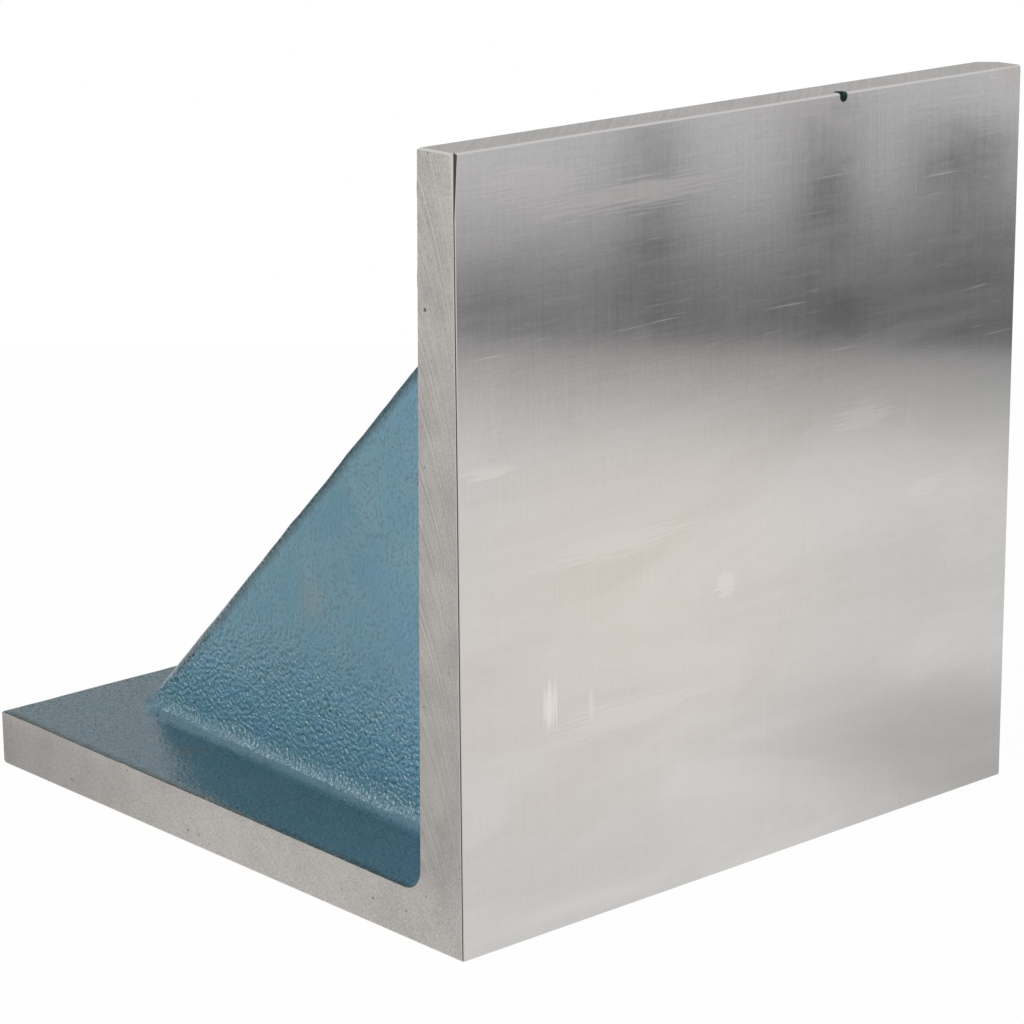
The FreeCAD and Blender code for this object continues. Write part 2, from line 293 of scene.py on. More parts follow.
def ground_finish(tree, place):
    """The colour, roughness and height of a ground face. The wheel's lines run up the face."""
    # the lines are 0.1 mm apart on the real face, and drawn 0.5 mm apart so that they show
    upward = add_node(tree, "ShaderNodeMapping", {"Vector": place, "Scale": (1, 0.02, 0.02)})
    wheel = add_node(tree, "ShaderNodeTexNoise", {"Vector": upward, "Scale": 2000, "Detail": 1.0,
                                                  "Roughness": 0.7})
    level = add_node(tree, "ShaderNodeMapping", {"Vector": place, "Scale": (0.03, 1, 1),
                                                 "Rotation": (0, math.radians(1.0), 0)})
    wiping = add_node(tree, "ShaderNodeTexNoise", {"Vector": level, "Scale": 1800, "Detail": 1.0,
                                                   "Roughness": 0.7})
    weave = add_node(tree, "ShaderNodeMix", {0: 0.45, 2: wheel.outputs[0], 3: wiping.outputs[0]},
                     data_type="FLOAT")

    # wider streaks both ways, 2 to 4 mm across, from unevenness of the wheel and of the wiping
    streaks = []
    for stretch in ((1, 0.07, 0.07), (0.07, 1, 1)):
        along = add_node(tree, "ShaderNodeMapping", {"Vector": place, "Scale": stretch})
        streaks.append(add_node(tree, "ShaderNodeTexNoise", {"Vector": along, "Scale": 300, "Detail": 3.0,
                                                             "Roughness": 0.7}).outputs[0])
    streak = add_node(tree, "ShaderNodeMix", {0: 0.55, 2: streaks[0], 3: streaks[1]}, data_type="FLOAT")
    weave = add_node(tree, "ShaderNodeMix", {0: 0.34, 2: weave, 3: streak}, data_type="FLOAT")
    weave = add_node(tree, "ShaderNodeMapRange", {"Value": weave, "From Min": 0.22, "From Max": 0.78})
    grit = add_node(tree, "ShaderNodeTexNoise", {"Vector": place, "Scale": 1500, "Detail": 1.0}).outputs[0]
    weave = add_node(tree, "ShaderNodeMix", {0: 0.35, 2: weave, 3: grit}, data_type="FLOAT")
    # the wheel's lines are drawn stronger in the upper part of the face, in colour and in height; the stronger
    # colour there is painted reflection, for lines that show up where the face mirrors the dark floor and cloth
    raised = add_node(tree, "ShaderNodeSeparateXYZ", {0: place}).outputs[2]
    raised = add_node(tree, "ShaderNodeMapRange", {"Value": raised, "From Min": 0.110, "From Max": 0.145,
                                                   "To Min": 0.32, "To Max": 0.95})
    weave = add_node(tree, "ShaderNodeMix", {0: raised, 2: 0.5, 3: weave}, data_type="FLOAT")

    # broad strokes of a cloth, 15 to 60 mm long
    strokes_along = add_node(tree, "ShaderNodeMapping", {"Vector": place, "Scale": (0.32, 1, 1),
                                                         "Rotation": (0, math.radians(5.0), 0)})
    strokes = add_node(tree, "ShaderNodeTexNoise", {"Vector": strokes_along, "Scale": 34, "Detail": 4.0,
                                                    "Roughness": 0.6, "Distortion": 0.7}).outputs[0]
    wiped = add_node(tree, "ShaderNodeMapRange", {"Value": strokes, "From Min": 0.38, "From Max": 0.66})

    # the middle of the face is warm and pale from handling, the rest is cooler
    handled = add_node(tree, "ShaderNodeVectorMath", {0: place, 1: (-0.040, -HALF_DEPTH, 0.082)},
                       operation="SUBTRACT")
    handled = add_node(tree, "ShaderNodeVectorMath", {0: handled, 1: (0.8, 1.0, 1.1)}, operation="MULTIPLY")
    handled = add_node(tree, "ShaderNodeVectorMath", {0: handled}, operation="LENGTH").outputs["Value"]
    ragged = add_node(tree, "ShaderNodeMath", {0: strokes, 1: 0.09, 2: handled}, operation="MULTIPLY_ADD")
    warmth = add_node(tree, "ShaderNodeMapRange", {"Value": ragged, "From Min": 0.055, "From Max": 0.135,
                                                   "To Min": 1.0, "To Max": 0.0},
                      interpolation_type="SMOOTHSTEP")

    # scratches: the thin crests of a much stretched noise, here and there
    scratches = []
    for tilt, spacing in ((6, 1100), (-27, 900)):
        across = add_node(tree, "ShaderNodeMapping", {"Vector": place, "Scale": (0.04, 1, 1),
                                                      "Rotation": (0, math.radians(tilt), 0)})
        crest = add_node(tree, "ShaderNodeTexNoise", {"Vector": across, "Scale": spacing, "Detail": 1.0})
        scratches.append(add_node(tree, "ShaderNodeMapRange", {"Value": crest.outputs[0], "From Min": 0.72,
                                                               "From Max": 0.80, "To Max": 0.5}))
    scratched = add_node(tree, "ShaderNodeMath", {0: scratches[0], 1: scratches[1]}, operation="MAXIMUM")

    cool = add_node(tree, "ShaderNodeMix", {0: weave, 6: linear("#b4b4b4"), 7: linear("#dddbd9")},
                    data_type="RGBA")
    warm = add_node(tree, "ShaderNodeMix", {0: weave, 6: linear("#bdb6b0"), 7: linear("#e8e0d9")},
                    data_type="RGBA")
    colour = add_node(tree, "ShaderNodeMix", {0: warmth, 6: cool, 7: warm}, data_type="RGBA")
    pale = add_node(tree, "ShaderNodeMath", {0: wiped, 1: 0.30}, operation="MULTIPLY")
    for x, z, half_length, half_height, strength in SMEARS:
        near = add_node(tree, "ShaderNodeVectorMath", {0: place, 1: (x * MM, -HALF_DEPTH, z * MM)},
                        operation="SUBTRACT")
        near = add_node(tree, "ShaderNodeVectorMath", {0: near, 1: (1 / (half_length * MM), 10,
                                                                    1 / (half_height * MM))},
                        operation="MULTIPLY")
        near = add_node(tree, "ShaderNodeVectorMath", {0: near}, operation="LENGTH").outputs["Value"]
        near = add_node(tree, "ShaderNodeMath", {0: strokes, 1: -2.0, 2: near}, operation="MULTIPLY_ADD")
        fine = wheel if half_height > half_length else wiping
        near = add_node(tree, "ShaderNodeMath", {0: fine, 1: -1.6, 2: near}, operation="MULTIPLY_ADD")
        near = add_node(tree, "ShaderNodeMapRange", {"Value": near, "From Min": -0.7, "From Max": -1.5,
                                                     "To Max": strength}, interpolation_type="SMOOTHSTEP")
        pale = add_node(tree, "ShaderNodeMath", {0: pale, 1: near}, operation="MAXIMUM")
    colour = add_node(tree, "ShaderNodeMix", {0: pale, 6: colour, 7: linear("#efe9e4")}, data_type="RGBA")
    roughness = add_node(tree, "ShaderNodeMath", {0: pale, 1: 0.11, 2: 0.055}, operation="MULTIPLY_ADD")
    roughness = add_node(tree, "ShaderNodeMath", {0: streak, 1: 0.05, 2: roughness}, operation="MULTIPLY_ADD")
    roughness = add_node(tree, "ShaderNodeMath", {0: scratched, 1: 0.18, 2: roughness},
                         operation="MULTIPLY_ADD")
    height = add_node(tree, "ShaderNodeMath", {0: weave, 1: 0.16}, operation="MULTIPLY")
    return colour, roughness, height


# %% [markdown]
# The sides, the top and the foot's end are face milled. A large cutter of hard teeth left arcs as it fed
# along, and the metal is duller, darker and a little pitted. Where an arc lies depends on one number only:
# the place along the feed, less the sagitta of the cutter's circle. Noise of that one number draws the arcs.

# %% The milled finish
CUTTER_RADIUS = 0.127       # the face mill's


def milled_finish(tree, place, points):
    """The colour, roughness and height of a milled face; points is the way the surface points."""
    at = add_node(tree, "ShaderNodeSeparateXYZ", {0: place}).outputs
    leaning = add_node(tree, "ShaderNodeVectorMath", {0: points}, operation="ABSOLUTE")
    leaning = add_node(tree, "ShaderNodeSeparateXYZ", {0: leaning.outputs[0]}).outputs
    on_foot = add_node(tree, "ShaderNodeMapRange", {"Value": at[2], "From Min": 0.012, "From Max": 0.020,
                                                    "To Min": 1.0, "To Max": 0.0})

    # feed and across are which way the cutter went on each face: wall side, foot side, top, foot end
    arcs = []
    for feed, across, centre in ((2, 1, 0.025), (1, 2, 0.100), (0, 1, 0.0), (0, 2, 0.060)):
        offset = add_node(tree, "ShaderNodeMath", {0: at[across], 1: centre}, operation="SUBTRACT")
        squared = add_node(tree, "ShaderNodeMath", {0: offset, 1: offset}, operation="MULTIPLY")
        room = add_node(tree, "ShaderNodeMath", {0: CUTTER_RADIUS ** 2, 1: squared}, operation="SUBTRACT")
        sagitta = add_node(tree, "ShaderNodeMath", {0: room}, operation="SQRT")
        arcs.append(add_node(tree, "ShaderNodeMath", {0: at[feed], 1: sagitta}, operation="SUBTRACT"))
    arc = add_node(tree, "ShaderNodeMix", {0: on_foot, 2: arcs[0], 3: arcs[1]}, data_type="FLOAT")
    is_top = add_node(tree, "ShaderNodeMath", {0: leaning[2], 1: 0.9}, operation="GREATER_THAN")
    arc = add_node(tree, "ShaderNodeMix", {0: is_top, 2: arc, 3: arcs[2]}, data_type="FLOAT")
    is_end = add_node(tree, "ShaderNodeMath", {0: leaning[1], 1: 0.9}, operation="GREATER_THAN")
    arc = add_node(tree, "ShaderNodeMix", {0: is_end, 2: arc, 3: arcs[3]}, data_type="FLOAT")

    cuts = add_node(tree, "ShaderNodeTexNoise", {"W": arc, "Scale": 520, "Detail": 3.0, "Roughness": 0.8},
                    noise_dimensions="1D").outputs[0]
    grit = add_node(tree, "ShaderNodeTexNoise", {"Vector": place, "Scale": 2000, "Detail": 1.0}).outputs[0]
    blotches = add_node(tree, "ShaderNodeTexNoise", {"Vector": place, "Scale": 70, "Detail": 4.0,
                                                     "Roughness": 0.65}).outputs[0]
    cut_share = add_node(tree, "ShaderNodeMapRange", {"Value": on_foot, "To Min": 0.72, "To Max": 0.22})
    texture = add_node(tree, "ShaderNodeMix", {0: cut_share, 2: grit, 3: cuts}, data_type="FLOAT")
    shade = add_node(tree, "ShaderNodeMix", {0: 0.30, 2: texture, 3: blotches}, data_type="FLOAT")
    contrast = add_node(tree, "ShaderNodeMapRange", {"Value": shade, "From Min": 0.30, "From Max": 0.70})

    colour = add_node(tree, "ShaderNodeMix", {0: contrast, 6: linear("#827e7b"), 7: linear("#bebbb7")},
                      data_type="RGBA")
    lighter = add_node(tree, "ShaderNodeMath", {0: on_foot, 1: 0.22}, operation="MULTIPLY")
    colour = add_node(tree, "ShaderNodeMix", {0: lighter, 6: colour, 7: linear("#d6d2ce")}, data_type="RGBA")
    duller = add_node(tree, "ShaderNodeMath", {0: is_top, 1: 0.25}, operation="MULTIPLY")
    colour = add_node(tree, "ShaderNodeMix", {0: duller, 6: colour, 7: linear("#6b6866")}, data_type="RGBA")
    # painted shade: the foot's side is painted darker towards its end
    painted_end_shade = add_node(tree, "ShaderNodeMapRange", {"Value": at[1], "From Min": 0.0, "From Max": HALF_DEPTH,
                                                "To Min": 0.0, "To Max": 0.52})
    painted_end_shade = add_node(tree, "ShaderNodeMath", {0: painted_end_shade, 1: on_foot}, operation="MULTIPLY")
    colour = add_node(tree, "ShaderNodeMix", {0: painted_end_shade, 6: colour, 7: linear("#6f6b68")}, data_type="RGBA")
    # open grain: small dark pores of graphite
    pores = add_node(tree, "ShaderNodeTexNoise", {"Vector": place, "Scale": 620, "Detail": 0.0}).outputs[0]
    pores = add_node(tree, "ShaderNodeMapRange", {"Value": pores, "From Min": 0.80, "From Max": 0.86,
                                                  "To Max": 0.4})
    colour = add_node(tree, "ShaderNodeMix", {0: pores, 6: colour, 7: linear("#4c4642")}, data_type="RGBA")
    roughness = add_node(tree, "ShaderNodeMath", {0: grit, 1: 0.10, 2: 0.24}, operation="MULTIPLY_ADD")
    height = add_node(tree, "ShaderNodeMath", {0: texture, 1: 1.6}, operation="MULTIPLY")
    return colour, roughness, height


# %% [markdown]
# One material does both finishes, because the casting is one piece, and it tells its faces apart by the way
# they point: what faces forward or down is ground, what faces another way is milled, and what leans between
# two faces is an arris, which handling has polished. The gas hole in the work face's upper edge kept its
# dark casting skin, and a few spots of dirt and one of rust are where they are on the real plate.

# %% Bare iron
FILED_LENGTH = 16 * MM      # how far down the left arris the filed corner shows
GAS_HOLE_RADIUS = 2.0 * MM
GAS_HOLE = Vector((HALF_WIDTH - 70.2 * MM, -HALF_DEPTH + 1.3 * MM, HEIGHT - 1.0 * MM))
DARK_PORES = (((-HALF_WIDTH, -90.6 * MM, 164.3 * MM), 0.5), ((-HALF_WIDTH, -66.7 * MM, 7.2 * MM), 0.35),
              ((-HALF_WIDTH, 12.0 * MM, 4.0 * MM), 0.3))


def bare_iron():
    material, tree = new_material("ground and milled grey cast iron")
    coordinates = add_node(tree, "ShaderNodeTexCoord").outputs
    place, points = coordinates["Object"], coordinates["Normal"]
    toward = add_node(tree, "ShaderNodeSeparateXYZ", {0: points}).outputs
    back_and_down = add_node(tree, "ShaderNodeMath", {0: toward[1], 1: toward[2]}, operation="MINIMUM")
    is_ground = add_node(tree, "ShaderNodeMapRange", {"Value": back_and_down, "From Min": -0.90,
                                                      "From Max": -0.98})
    leaning = add_node(tree, "ShaderNodeVectorMath", {0: points}, operation="ABSOLUTE")
    leaning = add_node(tree, "ShaderNodeSeparateXYZ", {0: leaning.outputs[0]}).outputs
    steepest = add_node(tree, "ShaderNodeMath", {0: leaning[0], 1: leaning[1]}, operation="MAXIMUM")
    steepest = add_node(tree, "ShaderNodeMath", {0: steepest, 1: leaning[2]}, operation="MAXIMUM")
    is_arris = add_node(tree, "ShaderNodeMapRange", {"Value": steepest, "From Min": 0.97, "From Max": 0.90})

    ground_colour, ground_roughness, ground_height = ground_finish(tree, place)
    milled_colour, milled_roughness, milled_height = milled_finish(tree, place, points)
    colour = add_node(tree, "ShaderNodeMix", {0: is_ground, 6: milled_colour, 7: ground_colour},
                      data_type="RGBA")
    colour = add_node(tree, "ShaderNodeMix", {0: is_arris, 6: colour, 7: linear("#c6c4c2")},
                      data_type="RGBA")
    roughness = add_node(tree, "ShaderNodeMix", {0: is_ground, 2: milled_roughness, 3: ground_roughness},
                         data_type="FLOAT")

    # a thin dark line runs along the left arris of the work face, and widens over the filed corner at its upper
    # end
    at = add_node(tree, "ShaderNodeSeparateXYZ", {0: place}).outputs
    inward = add_node(tree, "ShaderNodeMath", {0: at[0], 1: at[1]}, operation="SUBTRACT")
    upright = add_node(tree, "ShaderNodeMath", {0: leaning[2], 1: 0.3}, operation="LESS_THAN")
    at_left = add_node(tree, "ShaderNodeMath", {0: at[0], 1: -HALF_WIDTH + 1.4 * MM}, operation="LESS_THAN")
    darkening = add_node(tree, "ShaderNodeMapRange", {"Value": at[2], "From Min": HEIGHT - FILED_LENGTH,
                                                 "From Max": HEIGHT, "To Min": -0.25 * MM,
                                                 "To Max": -0.05 * MM})
    darkening = add_node(tree, "ShaderNodeMath", {0: inward, 1: darkening}, operation="GREATER_THAN")
    clean = add_node(tree, "ShaderNodeMapRange", {"Value": at[2], "From Min": HEIGHT - FILED_LENGTH,
                                                  "From Max": HEIGHT, "To Min": 0.15 * MM, "To Max": 1.2 * MM})
    clean = add_node(tree, "ShaderNodeMath", {0: inward, 1: clean}, operation="LESS_THAN")
    for each in (clean, at_left, upright, is_arris):
        darkening = add_node(tree, "ShaderNodeMath", {0: darkening, 1: each}, operation="MULTIPLY")
    colour = add_node(tree, "ShaderNodeMix", {0: darkening, 6: colour, 7: linear("#4b4744")}, data_type="RGBA")

    # a film of rust at the right end of the upper edge
    rust = add_node(tree, "ShaderNodeVectorMath", {0: place, 1: (HALF_WIDTH - 0.004, -HALF_DEPTH, HEIGHT)},
                    operation="DISTANCE").outputs["Value"]
    rust = add_node(tree, "ShaderNodeMapRange", {"Value": rust, "From Min": 8 * MM, "From Max": 1 * MM,
                                                 "To Max": 0.15})
    colour = add_node(tree, "ShaderNodeMix", {0: rust, 6: colour, 7: linear("#b98f62")}, data_type="RGBA")

    for middle, radius in DARK_PORES:
        near = add_node(tree, "ShaderNodeVectorMath", {0: place, 1: middle}, operation="DISTANCE")
        near = add_node(tree, "ShaderNodeMapRange", {"Value": near.outputs["Value"],
                                                     "From Min": radius * 1.3 * MM,
                                                     "From Max": radius * 0.6 * MM, "To Max": 0.85})
        colour = add_node(tree, "ShaderNodeMix", {0: near, 6: colour, 7: linear("#2f2b29")},
                          data_type="RGBA")
    hole = add_node(tree, "ShaderNodeVectorMath", {0: place, 1: GAS_HOLE}, operation="DISTANCE")
    hole = add_node(tree, "ShaderNodeMapRange", {"Value": hole.outputs["Value"], "From Min": GAS_HOLE_RADIUS,
                                                 "From Max": GAS_HOLE_RADIUS - 0.15 * MM})
    colour = add_node(tree, "ShaderNodeMix", {0: hole, 6: colour, 7: linear("#3d5254")}, data_type="RGBA")
    roughness = add_node(tree, "ShaderNodeMix", {0: hole, 2: roughness, 3: 0.6}, data_type="FLOAT")

    height = add_node(tree, "ShaderNodeMix", {0: is_ground, 2: milled_height, 3: ground_height},
                      data_type="FLOAT")
    bump = add_node(tree, "ShaderNodeBump", {"Height": height, "Strength": 1.0, "Distance": 0.02 * MM})
    metallic = add_node(tree, "ShaderNodeMath", {0: 1.0, 1: hole}, operation="SUBTRACT")
    shader = add_node(tree, "ShaderNodeBsdfPrincipled", {"Base Color": colour, "Metallic": metallic,
                                                         "Roughness": roughness, "Normal": bump})
    add_node(tree, "ShaderNodeOutputMaterial", {"Surface": shader})
    print(f"{material.name}: {len(tree.nodes)} nodes")
    return material


casting.material_slots[0].material = bare_iron()


# %% [markdown]
# The coat of enamel covers everything that was left as cast: both webs, the back of the wall, the top of the
# foot and the rounds between them. It could be drawn as a colour on the casting, but a brushed coat is thick
# and lumpy, and ends in a lip where the cutter went through it. So the skin of the cast inside is copied
# from the casting, and cut into small even squares that can be lifted into lumps.

# %% The skin of the cast inside
LEFT_OF_WEB = -HALF_WIDTH + 36 * MM


def is_painted(polygon):
    """True for a face of the cast inside, false for what a tool has cut."""
    centre = polygon.center
    if max(abs(centre.x) - HALF_WIDTH, centre.y - HALF_DEPTH, centre.z - HEIGHT) > -0.6 * MM:
        return False
    return centre.y > -HALF_DEPTH + 12.9 * MM and centre.z > 13.6 * MM


def steps(first, last, spacing):
    count = round((last - first) / spacing)
    return [first + (last - first) * each / count for each in range(1, count)]


def cut_along(axis, places):
    """Cuts the whole mesh that is being edited at each place along one axis."""
    normal = [1.0 if axis == each else 0.0 for each in "xyz"]
    for place in places:
        bpy.ops.mesh.select_all(action="SELECT")
        bpy.ops.mesh.bisect(plane_co=[place * part for part in normal], plane_no=normal)


def cast_skin():
    coat = bpy.data.objects.new("paint_coat", casting.data.copy())
    bpy.context.scene.collection.objects.link(coat)
    select_only(coat)
    coat.data.materials.clear()
    bpy.ops.mesh.customdata_custom_splitnormals_clear()
    bpy.ops.object.mode_set(mode="EDIT")
    bpy.ops.mesh.select_all(action="SELECT")
    bpy.ops.mesh.remove_doubles(threshold=0.005 * MM)
    bpy.ops.mesh.select_all(action="DESELECT")
    bpy.ops.object.mode_set(mode="OBJECT")
    for polygon in coat.data.polygons:
        polygon.select = not is_painted(polygon)
    bpy.ops.object.mode_set(mode="EDIT")
    bpy.ops.mesh.select_mode(type="FACE")
    bpy.ops.mesh.delete(type="FACE")
    bpy.ops.mesh.select_all(action="SELECT")
    bpy.ops.mesh.dissolve_limited(angle_limit=math.radians(0.3))
    bpy.ops.mesh.select_mode(type="VERT")
    rims = [side * (HALF_WIDTH - inset * MM) for side in (-1, 1) for inset in (0.5, 1.1)]
    cut_along("x", rims + steps(-HALF_WIDTH, LEFT_OF_WEB, 2.2 * MM) + steps(LEFT_OF_WEB, HALF_WIDTH, 4.0 * MM))
    cut_along("y", steps(-HALF_DEPTH, HALF_DEPTH, 2.4 * MM))
    cut_along("z", steps(0, HEIGHT, 2.4 * MM))
    bpy.ops.object.mode_set(mode="OBJECT")
    return coat


paint_coat = cast_skin()
print(f"skin of the cast inside: {len(paint_coat.data.polygons)} faces")


# %% [markdown]
# Paint draws back from a cut edge, so the film is thinner there. A vertex group holds how much of it there is
# and every lift below is weighed by it. The cutter also chipped the edge along the sides, so it wanders.

# %% The edge of the film
def weigh_film(coat):
    film = coat.vertex_groups.new(name="film")
    for vertex in coat.data.vertices:
        spot = vertex.co
        rim = min(HALF_WIDTH - abs(spot.x), HALF_DEPTH - 1.0 * MM - spot.y, HEIGHT - 1.0 * MM - spot.z)
        film.add([vertex.index], 0.45 + 0.55 * min(max(rim / (1.2 * MM), 0), 1), "REPLACE")


def chip_edges(coat):
    """Draws the edge back from the sides by up to half a millimetre, in bites 2 to 8 mm long."""
    for vertex in coat.data.vertices:
        spot = vertex.co
        near = max(1 - (HALF_WIDTH - abs(spot.x)) / (2.2 * MM), 0)
        if near:
            wander = 0.30 + 0.55 * noise.noise(spot * 240) + 0.35 * noise.noise(spot * 800)
            spot.x -= math.copysign(max(wander, 0.04) * 0.8 * MM * near, spot.x)


weigh_film(paint_coat)
chip_edges(paint_coat)

# %% [markdown]
# The film is lifted off the iron three times: evenly, then in the long waves of the sand mould, then in the
# lumps of the brush. A Displace modifier does each, with a Clouds texture of the right grain for the last two,
# and a Solidify modifier turned inwards closes the film against the iron.

# %% The thickness of the film
def raise_film(coat, name, height, grain=None):
    """Lifts the coat off the iron: evenly, or in lumps of the given grain."""
    lift = coat.modifiers.new(name, "DISPLACE")
    lift.direction = "NORMAL"
    lift.vertex_group = "film"
    lift.strength = height
    lift.mid_level = 0.0
    if grain:
        lumps = bpy.data.textures.new(name, "CLOUDS")
        lumps.noise_scale = grain
        lumps.noise_depth = 1
        lift.texture = lumps
        lift.texture_coords = "LOCAL"
        lift.mid_level = 0.5
    select_only(coat)
    bpy.ops.object.modifier_apply(modifier=name)


FILM, WAVE_HEIGHT, WAVE_LENGTH, LUMP_HEIGHT, LUMP_LENGTH = 0.36 * MM, 0.40 * MM, 17 * MM, 0.26 * MM, 6 * MM
SHELL = 0.8 * MM            # more than the film, so that its inner side is buried in the iron
raise_film(paint_coat, "film", FILM)
raise_film(paint_coat, "waves", WAVE_HEIGHT, WAVE_LENGTH)
raise_film(paint_coat, "lumps", LUMP_HEIGHT, LUMP_LENGTH)
shell = paint_coat.modifiers.new("shell", "SOLIDIFY")
shell.thickness = SHELL
shell.offset = -1
bpy.ops.object.modifier_apply(modifier="shell")
bpy.ops.object.shade_smooth_by_angle(angle=math.radians(50))
print(f"coat: {len(paint_coat.data.polygons)} faces, {paint_coat.dimensions.x / MM:.1f} mm wide")


# %% [markdown]
# Alkyd enamel, brushed thickly on sand-cast iron, dries glossy over an orange peel of small soft bumps about
# 1 mm apart. Dust and old oil lie between the bumps and dull it in patches, and the valleys are darker, partly
# as painted shade. Along the cut edges the film is thin and dark. The top of the foot and the rounded edges of
# the webs' slopes are painted darker as painted shade, the coat near the wall is painted paler as painted light,
# and the webs are greyed by dust and partly by a painted sheen. Two stains are where they are on the real plate.

# %% Enamel
SLOPE = 64.8 * MM           # how far the webs' slopes lie from the middle, square to themselves
SLOPE_POINTS = (0, 0.7005, 0.7137)      # the way they point
THIN_RIM, SPECKLED_RIM = 0.9 * MM, 9 * MM
# place, radius in mm, colour, strength
STAINS = (((-82.2 * MM, 37.6 * MM, 14.5 * MM), 7.5, "#5c5c44", 0.55),
          ((-67.1 * MM, -2.5 * MM, 65.0 * MM), 11.0, "#6f7266", 0.32))


def enamel():
    material, tree = new_material("brushed alkyd enamel")
    coordinates = add_node(tree, "ShaderNodeTexCoord").outputs
    place, points = coordinates["Object"], coordinates["Normal"]
    at = add_node(tree, "ShaderNodeSeparateXYZ", {0: place}).outputs

    # orange peel: soft bumps 1 mm apart, heavier low on the webs and near the wall, over a finer grain
    wandering = add_node(tree, "ShaderNodeTexNoise", {"Vector": place, "Scale": 300, "Detail": 1.0})
    wandering = add_node(tree, "ShaderNodeVectorMath", {0: wandering.outputs["Color"], 1: (0.0010,) * 3,
                                                        2: place}, operation="MULTIPLY_ADD")
    bumps = add_node(tree, "ShaderNodeTexNoise", {"Vector": wandering.outputs[0], "Scale": 900, "Detail": 1.0,
                                                  "Roughness": 0.4}).outputs[0]
    grain = add_node(tree, "ShaderNodeTexNoise", {"Vector": place, "Scale": 1500, "Detail": 1.0}).outputs[0]
    low = add_node(tree, "ShaderNodeMapRange", {"Value": at[2], "From Min": 0.030, "From Max": 0.068,
                                                "To Min": 1.0, "To Max": 0.0},
                   interpolation_type="SMOOTHSTEP")
    near_wall = add_node(tree, "ShaderNodeMapRange", {"Value": at[1], "From Min": -0.030, "From Max": -0.085},
                         interpolation_type="SMOOTHSTEP")
    heavy = add_node(tree, "ShaderNodeMath", {0: low, 1: near_wall}, operation="MAXIMUM")
    level = add_node(tree, "ShaderNodeSeparateXYZ", {0: points}).outputs[2]
    level = add_node(tree, "ShaderNodeMapRange", {"Value": level, "From Min": 0.35, "From Max": 0.75,
                                                  "To Min": 1.0, "To Max": 0.22})
    heavy = add_node(tree, "ShaderNodeMapRange", {"Value": heavy, "To Min": 0.28, "To Max": 1.5})
    heavy = add_node(tree, "ShaderNodeMath", {0: heavy, 1: level}, operation="MULTIPLY")
    peel = add_node(tree, "ShaderNodeMath", {0: bumps, 1: heavy}, operation="MULTIPLY")
    peel = add_node(tree, "ShaderNodeMath", {0: grain, 1: 0.16, 2: peel}, operation="MULTIPLY_ADD")

    # pigment, in clouds of slightly different teal
    clouds = add_node(tree, "ShaderNodeTexNoise", {"Vector": place, "Scale": 42, "Detail": 4.0,
                                                   "Roughness": 0.6}).outputs[0]
    flecks = add_node(tree, "ShaderNodeTexNoise", {"Vector": place, "Scale": 240, "Detail": 3.0,
                                                   "Roughness": 0.7}).outputs[0]
    colour = add_node(tree, "ShaderNodeMix", {0: clouds, 6: linear("#3b697d"), 7: linear("#4a7884")},
                      data_type="RGBA")
    bluer = add_node(tree, "ShaderNodeMapRange", {"Value": flecks, "From Min": 0.45, "From Max": 0.70,
                                                  "To Max": 0.55})
    colour = add_node(tree, "ShaderNodeMix", {0: bluer, 6: colour, 7: linear("#42708e")}, data_type="RGBA")

    # painted light: the coat is painted paler near the wall, for the light the wall throws back onto it
    painted_light_near_wall = add_node(tree, "ShaderNodeMapRange", {"Value": at[1], "From Min": -0.005, "From Max": -0.085,
                                                   "To Max": 0.50}, interpolation_type="SMOOTHSTEP")
    colour = add_node(tree, "ShaderNodeMix", {0: painted_light_near_wall, 6: colour, 7: linear("#5c8ca3")}, data_type="RGBA")

    # dirt in the valleys between the bumps, more of it in some places than in others; its darkening of the colour
    # is partly painted shade in the valleys
    valley = add_node(tree, "ShaderNodeMapRange", {"Value": bumps, "From Min": 0.46, "From Max": 0.36})
    dirty = add_node(tree, "ShaderNodeTexNoise", {"Vector": place, "Scale": 60, "Detail": 4.0,
                                                  "Roughness": 0.65}).outputs[0]
    dirty = add_node(tree, "ShaderNodeMapRange", {"Value": dirty, "From Min": 0.42, "From Max": 0.66,
                                                  "To Min": 0.20, "To Max": 0.70})
    darkening = add_node(tree, "ShaderNodeMath", {0: valley, 1: dirty}, operation="MULTIPLY")
    colour = add_node(tree, "ShaderNodeMix", {0: darkening, 6: colour, 7: linear("#27464c")}, data_type="RGBA")
    # painted shade: the top of the foot is painted darker
    painted_foot_shade = add_node(tree, "ShaderNodeMapRange", {"Value": at[2], "From Min": 0.030, "From Max": 0.016,
                                                  "To Max": 0.30})
    colour = add_node(tree, "ShaderNodeMix", {0: painted_foot_shade, 6: colour, 7: linear("#1f4650")}, data_type="RGBA")
    # a film of dust greys the webs, and the grey is partly a painted sheen, for the lamp's glints scattered over
    # the bumps
    dust_and_sheen = add_node(tree, "ShaderNodeMath", {0: dirty, 1: 0.35}, operation="MULTIPLY")
    raised = add_node(tree, "ShaderNodeMapRange", {"Value": at[2], "From Min": 0.030, "From Max": 0.075})
    dust_and_sheen = add_node(tree, "ShaderNodeMath", {0: dust_and_sheen, 1: raised}, operation="MULTIPLY")
    colour = add_node(tree, "ShaderNodeMix", {0: dust_and_sheen, 6: colour, 7: linear("#7c8f90")}, data_type="RGBA")
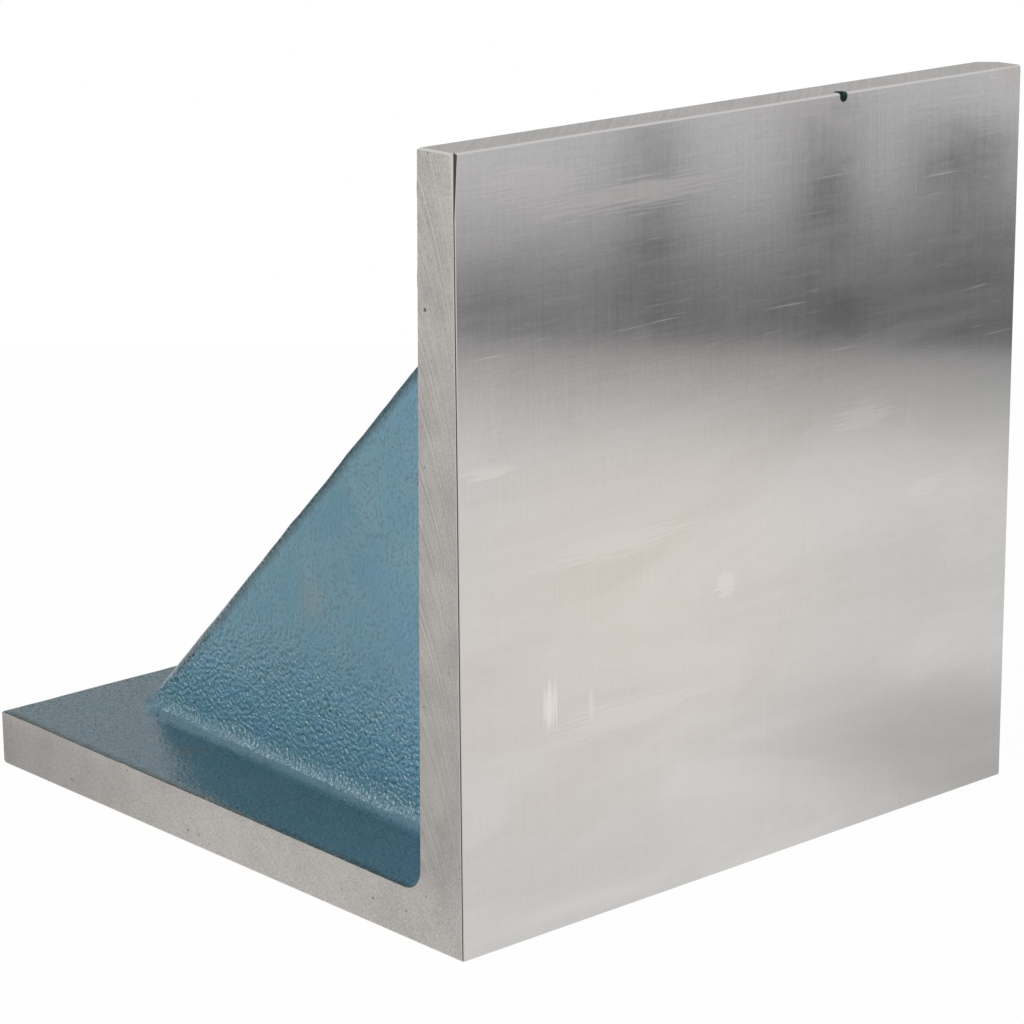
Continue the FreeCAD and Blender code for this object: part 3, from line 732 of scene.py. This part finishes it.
    # painted shade: along the rounded edge of each slope the coat is painted dark, a ragged millimetre or two
    # wide, where the round turns away from the light
    depth = add_node(tree, "ShaderNodeVectorMath", {0: place, 1: SLOPE_POINTS}, operation="DOT_PRODUCT")
    depth = add_node(tree, "ShaderNodeMath", {0: flecks, 1: 0.004, 2: depth.outputs["Value"]},
                     operation="MULTIPLY_ADD")
    painted_slope_shade = add_node(tree, "ShaderNodeMapRange", {"Value": depth, "From Min": SLOPE - 0.9 * MM,
                                                  "From Max": SLOPE + 1.3 * MM, "To Max": 0.75})
    above = add_node(tree, "ShaderNodeMapRange", {"Value": at[2], "From Min": 0.019, "From Max": 0.034})
    off_wall = add_node(tree, "ShaderNodeMapRange", {"Value": at[1], "From Min": -0.086, "From Max": -0.081})
    for share in (above, off_wall):
        painted_slope_shade = add_node(tree, "ShaderNodeMath", {0: painted_slope_shade, 1: share}, operation="MULTIPLY")
    colour = add_node(tree, "ShaderNodeMix", {0: painted_slope_shade, 6: colour, 7: linear("#24393e")}, data_type="RGBA")

    # along the sides the film is thin: dark, with specks of primer and rust
    inset = add_node(tree, "ShaderNodeMath", {0: at[0]}, operation="ABSOLUTE")
    ragged = add_node(tree, "ShaderNodeMath", {0: flecks, 1: 0.0030, 2: inset}, operation="MULTIPLY_ADD")
    thin = add_node(tree, "ShaderNodeMapRange", {"Value": ragged, "From Min": HALF_WIDTH - THIN_RIM,
                                                 "From Max": HALF_WIDTH + 1.0 * MM, "To Max": 0.9})
    colour = add_node(tree, "ShaderNodeMix", {0: thin, 6: colour, 7: linear("#22383a")}, data_type="RGBA")
    specks = add_node(tree, "ShaderNodeTexNoise", {"Vector": place, "Scale": 700, "Detail": 1.0}).outputs[0]
    specks = add_node(tree, "ShaderNodeMapRange", {"Value": specks, "From Min": 0.63, "From Max": 0.70})
    near_side = add_node(tree, "ShaderNodeMapRange", {"Value": inset, "From Min": HALF_WIDTH - SPECKLED_RIM,
                                                      "From Max": HALF_WIDTH, "To Max": 0.9})
    specks = add_node(tree, "ShaderNodeMath", {0: specks, 1: near_side}, operation="MULTIPLY")
    colour = add_node(tree, "ShaderNodeMix", {0: specks, 6: colour, 7: linear("#6d6650")}, data_type="RGBA")

    for middle, radius, stain, strength in STAINS:
        near = add_node(tree, "ShaderNodeVectorMath", {0: place, 1: middle}, operation="DISTANCE")
        near = add_node(tree, "ShaderNodeMath", {0: flecks, 1: 0.012, 2: near.outputs["Value"]},
                        operation="MULTIPLY_ADD")
        near = add_node(tree, "ShaderNodeMapRange", {"Value": near, "From Min": (radius + 6) * MM,
                                                     "From Max": 5 * MM, "To Max": strength},
                        interpolation_type="SMOOTHSTEP")
        colour = add_node(tree, "ShaderNodeMix", {0: near, 6: colour, 7: linear(stain)}, data_type="RGBA")

    dulled = add_node(tree, "ShaderNodeMapRange", {"Value": clouds, "From Min": 0.3, "From Max": 0.7,
                                                   "To Min": 0.07, "To Max": 0.13})
    roughness = add_node(tree, "ShaderNodeMath", {0: darkening, 1: 0.10, 2: dulled}, operation="MULTIPLY_ADD")
    bump = add_node(tree, "ShaderNodeBump", {"Height": peel, "Strength": 1.0, "Distance": 0.60 * MM})
    shader = add_node(tree, "ShaderNodeBsdfPrincipled", {"Base Color": colour, "Roughness": roughness,
                                                         "IOR": 1.5, "Normal": bump})
    add_node(tree, "ShaderNodeOutputMaterial", {"Surface": shader})
    print(f"{material.name}: {len(tree.nodes)} nodes")
    return material


paint_coat.data.materials.append(enamel())
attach(paint_coat, "root")
